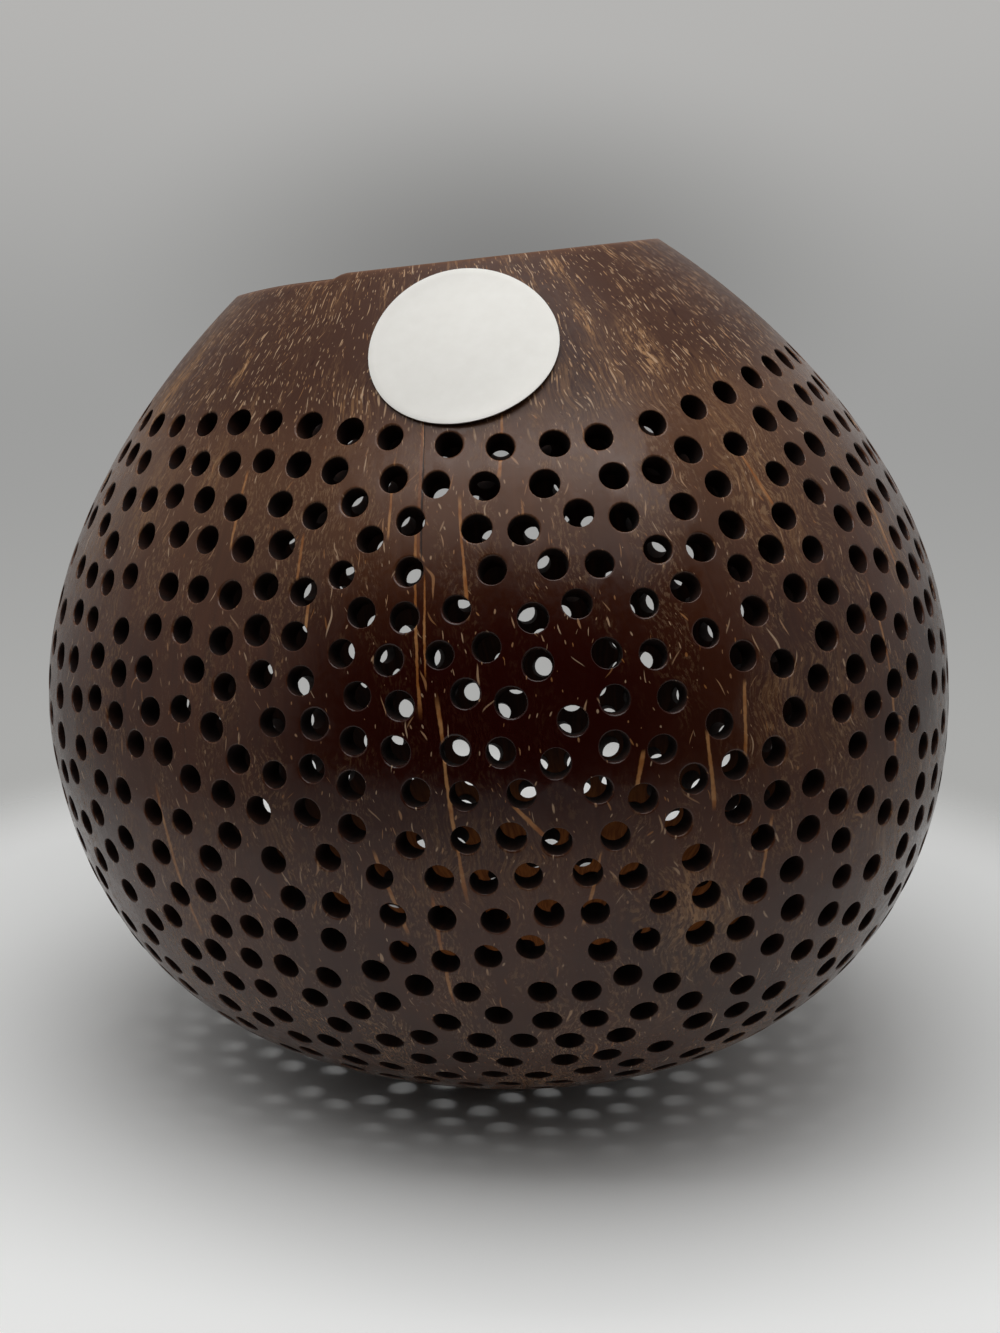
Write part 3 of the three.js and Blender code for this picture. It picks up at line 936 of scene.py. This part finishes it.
def floor_material():
    """Pale paper that painted light brightens towards the front, and that fades into the backdrop away from
    the shell.
    """
    nodes = Nodes(bpy.data.materials.new("pale floor"))
    place = nodes.add("ShaderNodeTexCoord").outputs["Object"]
    front = nodes.ramp(nodes.parts(place)["Y"], FLOOR_LIGHT_PAINTED_FROM, FLOOR_LIGHT_PAINTED_TO)
    nodes.surface({
        "Base Color": nodes.mix(front, (0.85, 0.855, 0.845, 1), (0.97, 0.975, 0.965, 1)),
        "Roughness": 0.75,
    })
    reach = nodes.add("ShaderNodeVectorMath", {"Vector": place}, operation="LENGTH").outputs["Value"]
    clear = nodes.add("ShaderNodeBsdfTransparent").outputs[0]
    blend = nodes.add("ShaderNodeMixShader")
    nodes.put(blend.inputs[0], nodes.ramp(reach, FLOOR_RADIUS * FLOOR_FADE, FLOOR_RADIUS))
    nodes.put(blend.inputs[1], nodes.shader.outputs[0])
    nodes.put(blend.inputs[2], clear)
    nodes.put(nodes.tree.nodes["Material Output"].inputs["Surface"], blend.outputs[0])
    return nodes.owner


# Pieces

def make_shell():
    shell = build_shell()
    points, triangles, quads = shell.faces()
    mesh = store_mesh("pierced_shell", to_row(points), triangles, quads)
    add_values(mesh, "grain", "FLOAT_VECTOR", np.vstack(shell.grain))
    add_values(mesh, "depth", "FLOAT", np.concatenate(shell.depth))
    add_values(mesh, "edge", "FLOAT", np.concatenate(shell.edge))
    piece = add_object("pierced_shell", mesh, coconut_material())
    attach(piece, "root")
    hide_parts("coconut_shell")


def make_label():
    """A paper disc: rings of points on both faces, joined round the edge."""
    azimuth = np.array([LABEL_AZIMUTH])
    middle = skin(azimuth, all_round(mouth_table, azimuth) - LABEL_BELOW_MOUTH)
    angle = full_turn(ROUND_SIDES)
    lifts = (LABEL_LIFT + LABEL_THICKNESS, LABEL_LIFT)
    faces = []
    for lift in lifts:
        face = []
        for ring in range(1, LABEL_RINGS + 1):
            share = ring / LABEL_RINGS
            curl = LABEL_CURL * share ** 6 * (1 + LABEL_CURL_CHANGE * np.sin(angle * 2 + LABEL_CURL_TURN))
            points = skin(*around(middle, np.full(ROUND_SIDES, LABEL_RADIUS * share), angle))[0]
            face.append(below(points, -(lift + curl)))
        faces.append(face)
    rings = faces[0] + faces[1][::-1]
    hubs = [below(middle, -lift) for lift in lifts]
    points = np.vstack(rings + hubs)
    ids = np.arange(len(rings) * ROUND_SIDES).reshape(len(rings), ROUND_SIDES)
    quads = quads_between(ids[:-1], ids[1:])[:, ::-1]
    first, last = ids[0], ids[-1]
    front_hub = np.full(ROUND_SIDES, ids.size)
    triangles = np.vstack([
        np.stack([first, np.roll(first, -1), front_hub], axis=-1),
        np.stack([np.roll(last, -1), last, front_hub + 1], axis=-1),
    ])
    mesh = store_mesh("round_label", to_row(points), triangles, quads)
    piece = add_object("round_label", mesh, paper_material())
    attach(piece, "root")
    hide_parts("paper_label")


# Stage, camera and lights

# Soft lamps: direction round the shell and height over it in degrees, distance, width and height,
# and brightness of the surface
LAMPS = {
    "front_panel": (265, 58, 0.5, (0.55, 0.25), 0.75),
    "front_strip": (268, 62, 0.45, (0.6, 0.03), 2.6),
    "top_panel": (270, 79, 0.42, (0.38, 0.24), 2.5),
    "top_strip": (90, 84, 0.40, (0.25, 0.04), 6.0),
}
LAMP_TARGET = Vector((0, 0, 60 * MM))
OPENING_BLACK = (0.004, 0.004, 0.004, 1)


def make_floor():
    angle = full_turn(ROUND_SIDES)
    points = np.stack([FLOOR_RADIUS * np.cos(angle), FLOOR_RADIUS * np.sin(angle), 0 * angle], axis=-1)
    mesh = bpy.data.meshes.new("floor")
    mesh.from_pydata([tuple(p) for p in points], [], [tuple(range(ROUND_SIDES))])
    add_object("floor", mesh, floor_material())


def make_camera():
    """The camera looks from the photograph's place, so the nut's middle falls on its pixel."""
    middle = Vector(to_row(np.zeros(3)))
    toward = Vector((0, -math.cos(VIEW_ELEVATION), math.sin(VIEW_ELEVATION)))
    data = bpy.data.cameras.new("camera")
    data.sensor_fit = "VERTICAL"
    data.sensor_height = SENSOR_HEIGHT
    data.lens = FOCAL_PIXELS / IMAGE_SIZE[1] * SENSOR_HEIGHT
    camera = bpy.data.objects.new("camera", data)
    bpy.context.scene.collection.objects.link(camera)
    camera.location = middle + toward * VIEW_DISTANCE
    side, drop = (
        math.atan((pixel - size / 2) / FOCAL_PIXELS) for pixel, size in zip(CENTRE_PIXEL, IMAGE_SIZE)
    )
    camera.rotation_euler = (math.pi / 2 - VIEW_ELEVATION + drop, 0, side)
    bpy.context.scene.camera = camera


def make_lamp(name, degrees, elevation, distance, size, brightness):
    """A soft lamp that faces the shell, placed by its direction and given its surface brightness."""
    data = bpy.data.lights.new(name, "AREA")
    data.shape = "RECTANGLE"
    data.size, data.size_y = size
    data.energy = brightness * math.pi * size[0] * size[1]
    lamp = bpy.data.objects.new(name, data)
    bpy.context.scene.collection.objects.link(lamp)
    azimuth, rise = math.radians(degrees), math.radians(elevation)
    way = Vector((math.cos(azimuth) * math.cos(rise), math.sin(azimuth) * math.cos(rise), math.sin(rise)))
    lamp.location = LAMP_TARGET + way * distance
    lamp.rotation_euler = (-way).to_track_quat("-Z", "Y").to_euler()


def make_world():
    """Grey walls with a dark opening in front, as in a small light box, and a grey backdrop with a soft halo
    of painted shade behind the shell.

    The walls give the light, the camera sees the backdrop, and the polish mirrors the backdrop
    and the opening.
    """
    world = bpy.data.worlds.new("studio")
    bpy.context.scene.world = world
    nodes = Nodes(world)
    mix, ramp = nodes.mix, nodes.ramp
    way = nodes.parts(nodes.add("ShaderNodeTexCoord").outputs["Generated"])
    height = way["Z"]

    # A little over 1, so that the root stays real straight up and down
    flat = nodes.math("SQRT", nodes.math("SUBTRACT", 1.001, nodes.math("POWER", height, 2.0)))
    frontal = nodes.math("DIVIDE", nodes.times(way["Y"], -1.0), flat)
    opening = nodes.times(ramp(frontal, 0.46, 0.66), ramp(height, 0.73, 0.61), ramp(height, -0.25, -0.15))
    walls = mix(ramp(height, 0.0, 0.55), (0.08, 0.08, 0.08, 1), (0.46, 0.46, 0.46, 1))
    walls = mix(opening, walls, OPENING_BLACK)

    backdrop = mix(ramp(height, -0.33, -0.15), (0.41, 0.41, 0.40, 1), (0.34, 0.34, 0.335, 1))
    backdrop = mix(ramp(height, -0.15, 0.05), backdrop, (0.46, 0.455, 0.445, 1))
    backdrop = mix(ramp(height, -0.36, -0.46), backdrop, (0.62, 0.62, 0.61, 1))
    # Painted shade: a soft dark halo on the backdrop just behind the shell
    half_width, half_height, level = 0.22, 0.115, -0.085
    aside = nodes.times(way["X"], 1 / half_width)
    above = nodes.linear(height, 1 / half_height, -level / half_height)
    halo_shade = nodes.times(ramp(nodes.length(aside, above), 1.0, 0.0), ramp(way["Y"], 0.0, 0.5))
    backdrop = nodes.over(backdrop, (0.0, 0.0, 0.0, 1), halo_shade, 0.42)

    ray = nodes.add("ShaderNodeLightPath").outputs
    mirrored = nodes.math("MAXIMUM", ray["Is Glossy Ray"], ray["Is Transmission Ray"])
    unseen = mix(mirrored, walls, mix(opening, backdrop, OPENING_BLACK))
    background = nodes.tree.nodes["Background"]
    nodes.put(background.inputs["Color"], mix(ray["Is Camera Ray"], unseen, backdrop))
    nodes.put(background.inputs["Strength"], 1.0)


make_camera()
make_shell()
make_label()
make_floor()
for lamp_name, settings in LAMPS.items():
    make_lamp(lamp_name, *settings)
make_world()
bpy.context.scene.view_settings.view_transform = "Standard"
